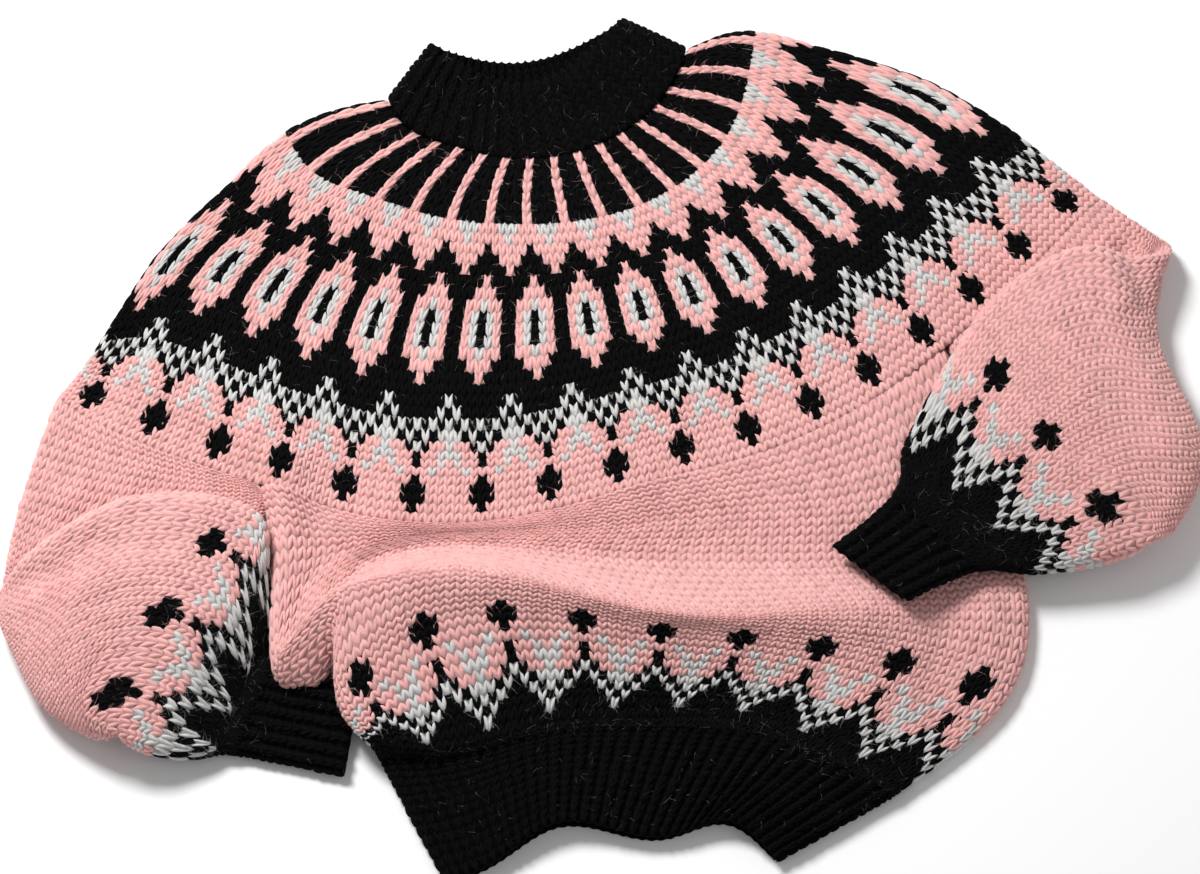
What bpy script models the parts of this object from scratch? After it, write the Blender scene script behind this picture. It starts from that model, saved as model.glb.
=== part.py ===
# Fair isle sweater with a round patterned yoke, lying on its back with both sleeves folded in.
# It is knitted in the round, so every piece is a flattened tube: a front face, a back face and
# rounded side folds, with the thin gap between the layers open at both ends of the tube.
# Millimetres in the tables, metres in the meshes. X runs to the right, Y from hem to neck, Z up.

import bpy
import bmesh
import numpy as np

MM = 0.001

# Cloth of bulky brushed wool
WALL = 5.1
GAP = 3.8
THINNEST_LAYER = 0.9 * WALL
FLAT = 2 * WALL + GAP
SEAM = 0.3

# Neck rib, turned down double
COLLAR_WALL = 8.4
COLLAR_RIM_WALL = 5.6
COLLAR_SEAM = 0.7
COLLAR_RIM_START = 0.88
COLLAR_RINGS = (0.0, 0.45, COLLAR_RIM_START, 1.0)

# The repeats of the pattern run round the yoke, half of them on the front
FRONT_REPEATS = 17
LEFT_UNDERARM = 3.95
RIGHT_UNDERARM = 13.05
UNDERARM_GAP = 0.04
RIM_INSET = 0.98

# Ribs round each rib piece and how far they stand out
COLLAR_RIBS = 51
HEM_RIBS = 76
CUFF_RIBS = 16
RIB_HEIGHT = 1.3

# Points round a tube and rings along it
YOKE_MESH = {"around": 64, "rings": 9}
BODY_MESH = {"around": 68, "rings": 19}
SLEEVE_MESH = {"around": 38, "rings": 16}
COLLAR_AROUND = 2 * COLLAR_RIBS
HEM_MESH = {"around": 2 * HEM_RIBS, "rings": 4}
CUFF_MESH = {"around": 3 * CUFF_RIBS, "rings": 4}
ACROSS = 49
EDGE_STEPS = 12

# Rays of the yoke from the neck outward. Repeat 0 is the left shoulder fold and 17 the right one.
# Columns: repeat, then the x and y of the points at the neck, teeth, middle and rim.
YOKE_RAYS = (
    (0.0, -160, 275, -274, 208, -329, 147, -398, 33),
    (1.5, -147, 251, -250, 186, -290, 144, -364, 9),
    (3.5, -115, 235, -197, 164, -212, 112, -273, -28),
    (5.5, -83, 225, -131, 143, -134, 90, -150, -65),
    (7.5, -52, 222, -53, 138, -50, 90, -39, -57),
    (9.5, -20, 227, 13, 147, 33, 108, 66, -27),
    (11.5, 10, 240, 77, 175, 111, 145, 171, 12),
    (13.5, 38, 262, 128, 226, 179, 204, 277, 93),
    (15.5, 58, 293, 152, 281, 227, 261, 341, 160),
    (17.0, 66, 317, 160, 320, 246, 291, 373, 193),
)
YOKE_RINGS = (0.0, 0.30, 0.47, 1.0)
BACK_NECK_RISE = 27
BACK_NECK_CURVE = 1.5
NECK_SWELL = 4
# Columns: repeat, x and y that the fold there moves out between neck and teeth, then in beyond.
SHOULDER_BOWS = ((0.0, -5, 9, 6, -5), (17.0, 2, 7, -6, -7))
SHOULDER_BOW_REACH = 1.6

# Neck rib: its top edge hangs lower at the front than at the back
COLLAR_LEFT_TOP = (-128, 321)
COLLAR_RIGHT_TOP = (18, 342)
COLLAR_FRONT_SAG = 46
COLLAR_BACK_SAG = 24

# Body, a row for each section below the yoke and a column for each station from left to right.
BODY_STATIONS = (0.0, 1 / 6, 2 / 6, 3 / 6, 4 / 6, 5 / 6, 1.0)
BODY_SECTIONS = {
    "upper": {
        "x": (-238, -157, -72, 16, 103, 190, 283),
        "y": (-97, -79, -73, -66, -55, -45, -14),
        "top": (20, 14, 14, 14, 14, 14, 14),
    },
    "valley": {
        "x": (-234, -163, -70, 20, 110, 202, 301),
        "y": (-179, -98, -88, -98, -100, -96, -84),
        "top": (30, 17, 16, 16, 15, 14, 14),
    },
    "crest": {
        "x": (-212, -122, -35, 50, 135, 220, 309),
        "y": (-140, -117, -127, -146, -143, -134, -126),
        "top": (48, 55, 54, 50, 43, 29, 16),
    },
    "dots": {
        "x": (-184, -130, -51, 36, 126, 209, 293),
        "y": (-211, -161, -149, -160, -167, -177, -199),
        "top": (36, 44, 48, 45, 38, 26, 14),
    },
    "points": {
        "x": (-167, -106, -40, 30, 101, 166, 230),
        "y": (-238, -230, -208, -206, -208, -231, -258),
        "top": (30, 24, 22, 21, 20, 17, 14),
    },
    "rib": {
        "x": (-157, -101, -38, 29, 99, 157, 209),
        "y": (-248, -245, -228, -224, -227, -246, -274),
        "top": (17, 16, 16, 16, 16, 15, 14),
    },
}
BODY_LEFT_TUCK = {"valley": (2, -14), "crest": (20, -66), "dots": (-4, -2)}
BODY_LEFT_LIFT = {"valley": 15, "crest": 17, "dots": 17, "points": 15, "rib": 2}
# The back rises from the surface over the outer share of the width, and is fully up at half of it
LIFT_REACH = 0.16
FULLY_LIFTED = 0.5
ROLLS_END = 3
HEM_EDGE = {
    "x": (-110, -73, -35, 4, 47, 89, 126),
    "y": (-338, -322, -297, -298, -304, -293, -322),
    "top": (14, 16, 20, 18, 15, 19, 14),
}

# Sleeves, a row for each section from the armhole to the end of the cuff. Each face has its two
# ends, on the shoulder line and on the underarm line, and a height at each end.
# Columns: section, x, y and z of the front face's shoulder and underarm ends, the same for the
# back face, then dome (rise of the back face), bow (bulge of both faces outward) and wave.
LEFT_SLEEVE = (
    ("upper arm", -420, -42, 14, -256, -82, 14, -420, -42, 0, -256, -82, 0, 0, 2, 0),
    ("elbow", -430, -96, 14, -346, -194, 14, -430, -96, 0, -346, -194, 0, 0, 11, -3),
    ("fold", -426, -114, 15, -342, -224, 15, -438, -120, 17, -351, -239, 18, 4, 20, -4),
    ("turned", -408, -98, 17, -340, -226, 17, -413, -98, 35, -346, -240, 34, 8, 14, -3),
    ("forearm", -343, -56, 17, -338, -236, 17, -343, -54, 37, -338, -244, 35, 12, 6, 0),
    ("dots", -261, -58, 17, -331, -243, 16, -261, -58, 38, -331, -246, 34, 10, 3, 0),
    ("turn", -239, -84, 16, -316, -247, 13, -239, -84, 36, -316, -248, 31, 6, 1, 0),
    ("zigzag", -238, -112, 7, -297, -247, 5, -239, -112, 28, -297, -248, 24, 4, 0, 0),
    ("black", -240, -146, 1, -277, -244, 1, -240, -146, 15, -277, -244, 18, 2, 0, 0),
    ("rib", -236, -172, 0, -259, -243, 0, -236, -172, 14, -259, -243, 14, 1, 0, 0),
    ("end", -172, -186, 0, -183, -259, 0, -172, -186, 14, -183, -259, 14, 0, 0, 0),
)
RIGHT_SLEEVE = (
    ("upper arm", 401, 172, 14, 293, 2, 14, 401, 172, 0, 293, 2, 0, 0, 0, 0),
    ("elbow", 414, 162, 14, 374, -60, 14, 414, 162, 0, 374, -60, 0, 0, 0, -8),
    ("fold", 413, 152, 15, 398, -72, 15, 427, 153, 17, 412, -79, 17, 4, 4, -19),
    ("turned", 396, 140, 16, 391, -84, 16, 400, 138, 34, 402, -92, 33, 8, 5, -16),
    ("forearm", 350, 143, 16, 380, -94, 16, 350, 144, 38, 388, -99, 35, 12, 4, -7),
    ("crook", 299, 112, 16, 371, -99, 16, 299, 113, 38, 375, -103, 37, 12, 3, 0),
    ("dots", 268, 76, 16, 359, -103, 16, 268, 76, 38, 361, -106, 37, 10, 2, 0),
    ("zigzag", 229, 6, 16, 329, -110, 17, 229, 6, 34, 329, -110, 34, 6, 0, 0),
    ("black", 219, -24, 16, 300, -111, 19, 219, -24, 31, 300, -111, 34, 4, 0, 0),
    ("rib", 211, -50, 16, 271, -112, 25, 211, -50, 30, 271, -112, 39, 1, 0, 0),
    ("end", 168, -90, 21, 220, -139, 38, 168, -90, 35, 220, -139, 52, 0, 0, 0),
)
SLEEVE_RIB_ROW = -2

# Soft rolls of the front, as ridges between two points
# Columns: x and y of one end, x and y of the other, height and half width.
ROLLS = (
    (-226, -20, -228, -172, 9, 15),
    (-262, 22, -236, -20, 5, 16),
    (-205, 40, -262, -10, 3, 22),
    (-330, 60, -352, 0, 4, 24),
    (-100, 60, -130, -40, 3, 30),
    (20, 70, 25, -30, 3, 34),
    (120, 100, 150, 30, 3, 30),
    (280, 230, 330, 190, 3, 20),
)
ROLL_KEEP_OFF = ((215, -150), (500, 120))

WOOL_ROUGHNESS = 0.95
COLOURS = {
    "pink": (0.855, 0.392, 0.361, 1.0),
    "black": (0.012, 0.012, 0.013, 1.0),
}


def spline(knots, values, places):
    """Natural cubic spline through rows of values."""
    knots = np.asarray(knots, float)
    values = np.asarray(values, float)
    count = len(knots)
    step = np.diff(knots)
    shape = (-1,) + (1,) * (values.ndim - 1)
    slope = np.diff(values, axis=0) / step.reshape(shape)
    system = np.eye(count)
    target = np.zeros_like(values)
    for i in range(1, count - 1):
        system[i, i - 1 : i + 2] = step[i - 1], 2 * (step[i - 1] + step[i]), step[i]
        target[i] = 6 * (slope[i] - slope[i - 1])
    bend = np.linalg.solve(system, target.reshape(count, -1)).reshape(values.shape)
    places = np.clip(np.asarray(places, float), knots[0], knots[-1])
    at = np.clip(np.searchsorted(knots, places, side="right") - 1, 0, count - 2)
    shape = (-1,) + (1,) * (values.ndim - 1)
    left = (knots[at + 1] - places).reshape(shape)
    right = (places - knots[at]).reshape(shape)
    width = step[at].reshape(shape)
    return (
        bend[at] * left**3 / (6 * width)
        + bend[at + 1] * right**3 / (6 * width)
        + (values[at] / width - bend[at] * width / 6) * left
        + (values[at + 1] / width - bend[at + 1] * width / 6) * right
    )


def unit(vectors):
    return vectors / np.maximum(np.linalg.norm(vectors, axis=-1, keepdims=True), 1e-9)


def roll_height(x, y):
    """Height that the soft rolls add to the front at each plan point."""
    total = np.zeros(np.shape(x))
    for from_x, from_y, to_x, to_y, height, half_width in ROLLS:
        along = np.array([to_x - from_x, to_y - from_y], float)
        length = np.hypot(*along)
        share = ((x - from_x) * along[0] + (y - from_y) * along[1]) / length**2
        inside = np.clip(share, 0, 1)
        away = np.hypot(x - from_x - inside * along[0], y - from_y - inside * along[1])
        total += height * np.exp(-((away / half_width) ** 2))
    (low_x, low_y), (high_x, high_y) = ROLL_KEEP_OFF
    covered = (x > low_x) & (x < high_x) & (y > low_y) & (y < high_y)
    return np.where(covered, 0, total)


def yoke_rays(repeats):
    """Plan points of the four named rings at the given repeats."""
    table = np.array(YOKE_RAYS, float)
    points = table[:, 1:].reshape(len(table), len(YOKE_RINGS), 2)
    return spline(table[:, 0], points, repeats)


def yoke_faces(ring_places, repeats):
    """Front and back faces of the yoke, as rings of points from the left fold to the right."""
    rays = yoke_rays(repeats)
    plan = spline(YOKE_RINGS, np.swapaxes(rays, 0, 1), ring_places)
    near_teeth, near_middle = YOKE_RINGS[1:3]
    places = np.asarray(ring_places)
    shoulder = np.sin(np.pi * np.clip(places / near_teeth, 0, 1))
    beyond = np.sin(np.pi * np.clip((places - near_middle) / (1 - near_middle), 0, 1))
    for at, *bow in SHOULDER_BOWS:
        near = np.exp(-(((np.asarray(repeats) - at) / SHOULDER_BOW_REACH) ** 2))
        plan += np.multiply.outer(np.outer(shoulder, near), bow[:2])
        plan += np.multiply.outer(np.outer(beyond, near), bow[2:])
    share = np.asarray(repeats) / FRONT_REPEATS
    near_neck = np.clip(1 - np.asarray(ring_places) / YOKE_RINGS[1], 0, 1)[:, None]
    middle = np.sin(np.pi * share)[None, :]
    top = FLAT + NECK_SWELL * near_neck**2 * middle
    top = top + roll_height(plan[..., 0], plan[..., 1]) * np.sqrt(middle)
    front = np.dstack([plan, top])
    back = np.dstack([plan, np.zeros_like(top)])
    back[..., 1] += BACK_NECK_RISE * near_neck**BACK_NECK_CURVE * middle
    return front, back


def collar_faces(ring_places):
    share = np.linspace(0, 1, ACROSS)
    seam_front, seam_back = yoke_faces([0.0], share * FRONT_REPEATS)
    left = np.array(COLLAR_LEFT_TOP, float)
    right = np.array(COLLAR_RIGHT_TOP, float)
    line = left + share[:, None] * (right - left)
    sag = np.sin(np.pi * share)
    faces = []
    for seam, drop, height in (
        (seam_front[0], COLLAR_FRONT_SAG, 2 * COLLAR_WALL + GAP),
        (seam_back[0], COLLAR_BACK_SAG, 0),
    ):
        top = line - np.outer(sag, (0, drop))
        away = unit(top - seam[:, :2])
        start = seam[:, :2] + COLLAR_SEAM * away
        rings = [start + place * (top - start) for place in ring_places]
        faces.append(np.dstack([np.array(rings), np.full((len(rings), ACROSS), float(height))]))
    return faces


def body_faces(rows, ring_places, first, last):
    """Faces between two of the body's sections, counted from the yoke."""
    share = np.linspace(0, 1, ACROSS)
    repeats = np.linspace(LEFT_UNDERARM + UNDERARM_GAP, RIGHT_UNDERARM - UNDERARM_GAP, ACROSS)
    rim_front, rim_back = yoke_faces([1.0], repeats)
    front = [rim_front[0] + np.array((0, -SEAM, 0))]
    back = [rim_back[0] + np.array((0, -SEAM, 0))]
    for name, row in rows.items():
        stations = np.array([row["x"], row["y"], row["top"]], float).T
        face = spline(BODY_STATIONS, stations, share)
        under = face.copy()
        near_left = np.clip(1 - share / LIFT_REACH, 0, 1)[:, None]
        tuck = np.array(BODY_LEFT_TUCK.get(name, (0, 0)) + (0,), float)
        under = under + near_left**2 * tuck
        lifted = np.clip(near_left[:, 0] / FULLY_LIFTED, 0, 1)
        under[:, 2] = BODY_LEFT_LIFT.get(name, 0) * lifted
        front.append(face)
        back.append(under)
    places = np.linspace(0, 1, len(front))
    at = places[first] + np.asarray(ring_places) * (places[last] - places[first])
    front = spline(places, np.array(front), at)
    back = spline(places, np.array(back), at)
    rolls = roll_height(front[..., 0], front[..., 1])
    front[..., 2] += rolls * np.sqrt(np.clip(1 - at / places[ROLLS_END], 0, 1))[:, None]
    back[..., 2] = np.maximum(back[..., 2], 0)
    front[..., 2] = np.maximum(front[..., 2], back[..., 2] + FLAT)
    return front, back


def sleeve_faces(rows, repeats, ring_places, first, last):
    """Faces of a sleeve between two of its sections. The first end of each is on the left."""
    share = np.linspace(0, 1, ACROSS)
    rim_front, rim_back = yoke_faces([1.0], repeats[0] + share * (repeats[1] - repeats[0]))
    inner_front, _ = yoke_faces([RIM_INSET], repeats[0] + share * (repeats[1] - repeats[0]))
    away = unit(rim_front[0] - inner_front[0]) * SEAM
    away[:, 2] = 0
    front = [rim_front[0] + away]
    back = [rim_back[0] + away]
    on_right = repeats[1] == FRONT_REPEATS
    for row in rows:
        values = np.array(row[1:], float)
        ends = values[:12].reshape(4, 3)
        dome, bow, wave = values[12:]
        arch = np.sin(np.pi * share)
        swing = np.sin(2 * np.pi * share) * (-1 if on_right else 1)
        for faces, pair in ((front, ends[:2]), (back, ends[2:])):
            first_end, last_end = pair[::-1] if on_right else pair
            line = first_end + share[:, None] * (last_end - first_end)
            run = unit(last_end[:2] - first_end[:2])
            line[:, :2] += np.outer(bow * arch + wave * swing, (run[1], -run[0]))
            if faces is back:
                line[:, 2] += dome * arch
            faces.append(line)
    places = np.linspace(0, 1, len(front))
    at = places[first] + np.asarray(ring_places) * (places[last] - places[first])
    front, back = spline(places, np.array(front), at), spline(places, np.array(back), at)
    front[..., 2] = np.maximum(front[..., 2], 0)
    back[..., 2] = np.maximum(back[..., 2], 0)
    return front, back


def section_loops(front, back, wall, upright, slit_at_front):
    """Outer and inner loop of one section: faces, rounded side folds and the gap inside."""
    middle = (front + back) / 2
    run = np.concatenate([[0], np.cumsum(np.linalg.norm(np.diff(middle, axis=0), axis=1))])
    left_radius = np.linalg.norm(front[0] - back[0]) / 2
    right_radius = np.linalg.norm(front[-1] - back[-1]) / 2
    places = np.linspace(left_radius, run[-1] - right_radius, 2 * ACROSS)

    def at(points):
        return np.column_stack([np.interp(places, run, points[:, i]) for i in range(3)])

    front_in, back_in = at(front), at(back)
    through = np.array([[0.0, 0.0, 1.0]]) if upright else unit(front_in - back_in)
    depth = ((front_in - back_in) * through).sum(axis=1, keepdims=True)
    rest = np.maximum(depth - wall - GAP, THINNEST_LAYER)
    if slit_at_front:
        inner_front, inner_back = front_in - wall * through, back_in + rest * through
    else:
        inner_front, inner_back = front_in - rest * through, back_in + wall * through

    def edge(face, other, end, start_angle, end_angle):
        centre = (face[end] + other[end]) / 2
        half = (face[end] - other[end]) / 2
        out = unit(middle[end] - (front_in[end] + back_in[end]) / 2) * np.linalg.norm(half)
        angles = np.linspace(start_angle, end_angle, EDGE_STEPS)[1:-1, None]
        return centre + half * np.sin(angles) + out * np.cos(angles)

    quarter = np.pi / 2
    loops = []
    for face, other in ((front_in, back_in), (inner_front, inner_back)):
        loops.append(
            np.vstack([
                edge(face, other, 0, -quarter / EDGE_STEPS, quarter),
                face,
                edge(face, other, -1, quarter, -quarter),
                other[::-1],
                edge(face, other, 0, -quarter, 0),
            ])
        )
    return loops


def even_points(loop, partner, count):
    """Points evenly spaced round a loop, and those of its partner at the same places."""
    closed = np.vstack([loop, loop[:1]])
    mate = np.vstack([partner, partner[:1]])
    run = np.concatenate([[0], np.cumsum(np.linalg.norm(np.diff(closed, axis=0), axis=1))])
    places = np.arange(count) / count * run[-1]
    sampled = [
        np.column_stack([np.interp(places, run, points[:, i]) for i in range(3)])
        for points in (closed, mate)
    ]
    return sampled


def tube_rings(front, back, around, walls, upright=True, slit_at_front=True, ribs=0):
    """Outer and inner rings of a whole tube."""
    outer_rings, inner_rings = [], []
    for front_row, back_row, wall in zip(front, back, walls):
        outer, inner = section_loops(front_row, back_row, wall, upright, slit_at_front)
        outer, inner = even_points(outer, inner, around)
        outer[:, 2] = np.maximum(outer[:, 2], 0)
        if ribs:
            phase = np.arange(around) / around * ribs * 2 * np.pi
            outer = outer + unit(outer - inner) * RIB_HEIGHT * (np.cos(phase)[:, None] - 1) / 2
        outer_rings.append(outer)
        inner_rings.append(inner)
    return np.array(outer_rings), np.array(inner_rings)


def cloth_material(name, colour):
    material = bpy.data.materials.new(name)
    material.use_nodes = True
    shader = material.node_tree.nodes["Principled BSDF"]
    shader.inputs["Base Color"].default_value = colour
    shader.inputs["Roughness"].default_value = WOOL_ROUGHNESS
    shader.inputs["Metallic"].default_value = 0.0
    return material


def tube_object(name, outer, inner, colour, collection):
    """A tube wall as a mesh object: outer skin, inner skin and a rim at each end."""
    rings, around = outer.shape[:2]
    points = np.vstack([outer.reshape(-1, 3), inner.reshape(-1, 3)]) * MM
    inner_start = rings * around
    faces = []
    for i in range(rings - 1):
        for j in range(around):
            k = (j + 1) % around
            low, high = i * around, (i + 1) * around
            faces.append((low + j, low + k, high + k, high + j))
            faces.append(tuple(inner_start + n for n in (low + k, low + j, high + j, high + k)))
    for ring, flip in ((0, False), (rings - 1, True)):
        for j in range(around):
            k = (j + 1) % around
            start = ring * around
            face = (start + k, start + j, inner_start + start + j, inner_start + start + k)
            faces.append(face[::-1] if flip else face)
    mesh = bpy.data.meshes.new(name)
    mesh.from_pydata(points.tolist(), [], faces)
    shape = bmesh.new()
    shape.from_mesh(mesh)
    bmesh.ops.triangulate(shape, faces=shape.faces, quad_method="SHORT_EDGE")
    bmesh.ops.recalc_face_normals(shape, faces=shape.faces)
    shape.to_mesh(mesh)
    shape.free()
    mesh.shade_smooth()
    mesh.materials.append(cloth_material(name + "_wool", COLOURS[colour]))
    made = bpy.data.objects.new(name, mesh)
    collection.objects.link(made)
    return made


def even_places(count):
    return np.linspace(0, 1, count)


def yoke_tube():
    repeats = np.linspace(0, FRONT_REPEATS, ACROSS)
    front, back = yoke_faces(even_places(YOKE_MESH["rings"]), repeats)
    return tube_rings(front, back, YOKE_MESH["around"], [WALL] * len(front))


def collar_tube():
    """The neck rib thins to a rounded rim over the last part of its height."""
    front, back = collar_faces(COLLAR_RINGS)
    rim = np.interp(COLLAR_RINGS, COLLAR_RINGS[-2:], (0, 1))
    walls = COLLAR_WALL + rim * (COLLAR_RIM_WALL - COLLAR_WALL)
    front[..., 2] -= (COLLAR_WALL - walls)[:, None]
    back[..., 2] += (COLLAR_WALL - walls)[:, None]
    return tube_rings(front, back, COLLAR_AROUND, walls, ribs=COLLAR_RIBS)


def body_tube():
    count = len(BODY_SECTIONS)
    front, back = body_faces(BODY_SECTIONS, even_places(BODY_MESH["rings"]), 0, count)
    return tube_rings(front, back, BODY_MESH["around"], [WALL] * len(front))


def move_off_seam(front, back):
    """Pulls the first ring of a rib piece clear of the piece that it is knitted on."""
    down = unit(front[1] - front[0]) * SEAM
    front[0] += down
    back[0] += down


def hem_tube():
    rows = dict(BODY_SECTIONS, hem=HEM_EDGE)
    count = len(rows)
    front, back = body_faces(rows, even_places(HEM_MESH["rings"]), count - 1, count)
    move_off_seam(front, back)
    return tube_rings(front, back, HEM_MESH["around"], [WALL] * len(front), ribs=HEM_RIBS)


def sleeve_tube(rows, repeats):
    rib = len(rows) + SLEEVE_RIB_ROW + 1
    front, back = sleeve_faces(rows, repeats, even_places(SLEEVE_MESH["rings"]), 0, rib)
    walls = [WALL] * len(front)
    return tube_rings(front, back, SLEEVE_MESH["around"], walls, False, False)


def cuff_tube(rows, repeats):
    rib = len(rows) + SLEEVE_RIB_ROW + 1
    front, back = sleeve_faces(rows, repeats, even_places(CUFF_MESH["rings"]), rib, rib + 1)
    move_off_seam(front, back)
    walls = [WALL] * len(front)
    return tube_rings(front, back, CUFF_MESH["around"], walls, False, False, ribs=CUFF_RIBS)


def main():
    for old in list(bpy.data.objects):
        bpy.data.objects.remove(old, do_unlink=True)
    collection = bpy.data.collections.new("fair_isle_sweater")
    bpy.context.scene.collection.children.link(collection)
    left = (LEFT_SLEEVE, (0.0, LEFT_UNDERARM))
    right = (RIGHT_SLEEVE, (RIGHT_UNDERARM, float(FRONT_REPEATS)))
    tubes = {
        "yoke": (yoke_tube(), "black"),
        "collar": (collar_tube(), "black"),
        "body": (body_tube(), "pink"),
        "hem_rib": (hem_tube(), "black"),
        "left_sleeve": (sleeve_tube(*left), "pink"),
        "left_cuff": (cuff_tube(*left), "black"),
        "right_sleeve": (sleeve_tube(*right), "pink"),
        "right_cuff": (cuff_tube(*right), "black"),
    }
    everything = np.vstack([outer.reshape(-1, 3) for (outer, inner), colour in tubes.values()])
    middle = (everything.min(axis=0) + everything.max(axis=0)) / 2
    middle[2] = 0
    for name, ((outer, inner), colour) in tubes.items():
        tube_object(name, outer - middle, inner - middle, colour, collection)


main()
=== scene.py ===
"""Fair isle sweater laid on its back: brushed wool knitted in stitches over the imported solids.

Every piece of the garment is a flattened tube. Its outer skin is worked out as a fine grid from
the same sections as the solids, and is dressed with a thin shell of backing cloth, one raised V
for each stitch, and loose fibres. Millimetres in the tables, metres in the meshes. X runs to the
right, Y from hem to neck, Z up.
"""

from collections import namedtuple

import bpy
import numpy as np
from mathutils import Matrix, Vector

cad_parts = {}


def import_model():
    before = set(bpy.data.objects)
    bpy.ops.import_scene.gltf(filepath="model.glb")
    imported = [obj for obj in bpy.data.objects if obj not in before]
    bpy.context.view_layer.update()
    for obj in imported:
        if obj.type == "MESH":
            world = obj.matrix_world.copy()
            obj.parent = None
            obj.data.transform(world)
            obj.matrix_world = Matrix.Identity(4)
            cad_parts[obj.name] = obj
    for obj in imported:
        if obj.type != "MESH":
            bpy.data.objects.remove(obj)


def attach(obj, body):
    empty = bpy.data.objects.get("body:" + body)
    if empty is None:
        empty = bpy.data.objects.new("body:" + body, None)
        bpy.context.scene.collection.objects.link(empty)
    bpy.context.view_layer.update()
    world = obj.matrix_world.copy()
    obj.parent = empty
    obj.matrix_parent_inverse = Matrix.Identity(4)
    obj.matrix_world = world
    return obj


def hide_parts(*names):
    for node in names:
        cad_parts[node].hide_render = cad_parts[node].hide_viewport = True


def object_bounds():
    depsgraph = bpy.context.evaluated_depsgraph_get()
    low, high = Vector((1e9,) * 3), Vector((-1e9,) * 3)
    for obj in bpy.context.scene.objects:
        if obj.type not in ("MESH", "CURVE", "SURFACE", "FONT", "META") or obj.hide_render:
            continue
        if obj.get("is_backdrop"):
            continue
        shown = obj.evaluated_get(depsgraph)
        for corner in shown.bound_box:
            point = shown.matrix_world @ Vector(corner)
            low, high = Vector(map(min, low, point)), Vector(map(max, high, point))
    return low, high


MM = 0.001
MIDDLE = np.array((0.98, 2.06, 0.0))

# Cloth of the solids: wall, gap between the two layers, least thickness of a layer, both layers
# together, seam; then the wall of the neck rib and where it thins
WALL = 5.1
GAP = 3.8
THINNEST_LAYER = 0.9 * WALL
FLAT = 2 * WALL + GAP
SEAM = 0.3
COLLAR_WALL = 8.4
COLLAR_RIM_WALL = 5.6
COLLAR_RIM_START = 0.88

# The repeats of the pattern run round the yoke, half of them on the front, and the underarms are
# places among them. The inset is a ring just inside the rim.
FRONT_REPEATS = 17
LEFT_UNDERARM = 3.95
RIGHT_UNDERARM = 13.05
UNDERARM_GAP = 0.04
RIM_INSET = 0.98
COLLAR_RIBS = 51
HEM_RIBS = 76
CUFF_RIBS = 16

# Fineness of the skins: stations along a tube, points across a face, round a half and in a side
# fold, and points of a measured length
STATIONS = 90
ACROSS = 97
HALF_ROUND = 240
EDGE_STEPS = 16
LENGTH_STEPS = 60
# Places of the stations along a tube, and the middles of its faces as shares of a full round
PLACES = np.linspace(0, 1, STATIONS)
MID_FRONT = 0.25
MID_BACK = 0.75

# The backing under the outer skin of the solids, how far it reaches over a seam, how deep the
# stitches are rooted in it and how far they stand out, and the lowest height of any point
BACKING_DEPTH = 1.0
BACKING_WALL = 2.4
SEAM_COVER = 0.14
STITCH_ROOT = 0.2
STITCH_TOP = 0.5
LOWEST = 0.15

# Ribs: depth of a furrow, share of a rib that its wale takes, columns of backing to a rib; then the
# heights of a round in ribs and in plain cloth
RIB_DEPTH = 2.6
RIB_WALE_WIDTH = 0.62
RIB_COLUMNS = 6
RIB_ROW = 6.2
PLAIN_ROW = 5.4
FEWEST_RIB_ROUNDS = 3

# Camera of the photograph
IMAGE_WIDTH_PX = 1200
PX_PER_M = 1370
SENSOR_MM = 36
ELEVATION = np.radians(68)
DISTANCE = 4.0
AIM = (-0.00098, -0.00206, 0.014)

# Rays of the yoke from the neck outward. Repeat 0 is the left shoulder fold and 17 the right one.
# Columns: repeat, then the x and y of the points at the neck, teeth, middle and rim.
YOKE_RAYS = (
    (0.0, -160, 275, -274, 208, -329, 147, -398, 33),
    (1.5, -147, 251, -250, 186, -290, 144, -364, 9),
    (3.5, -115, 235, -197, 164, -212, 112, -273, -28),
    (5.5, -83, 225, -131, 143, -134, 90, -150, -65),
    (7.5, -52, 222, -53, 138, -50, 90, -39, -57),
    (9.5, -20, 227, 13, 147, 33, 108, 66, -27),
    (11.5, 10, 240, 77, 175, 111, 145, 171, 12),
    (13.5, 38, 262, 128, 226, 179, 204, 277, 93),
    (15.5, 58, 293, 152, 281, 227, 261, 341, 160),
    (17.0, 66, 317, 160, 320, 246, 291, 373, 193),
)
YOKE_RINGS = (0.0, 0.30, 0.47, 1.0)
# The back neck lies further up than the front one, and the front swells a little at the neck
BACK_NECK_RISE = 27
BACK_NECK_CURVE = 1.5
NECK_SWELL = 4
# Columns: repeat, x and y that the fold there moves out between neck and teeth, then in beyond.
SHOULDER_BOWS = ((0.0, -5, 9, 6, -5), (17.0, 2, 7, -6, -7))
SHOULDER_BOW_REACH = 1.6

# Neck rib: its top edge hangs lower at the front than at the back
COLLAR_LEFT_TOP = (-128, 321)
COLLAR_RIGHT_TOP = (18, 342)
COLLAR_FRONT_SAG = 46
COLLAR_BACK_SAG = 24
COLLAR_SEAM = 0.7

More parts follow.
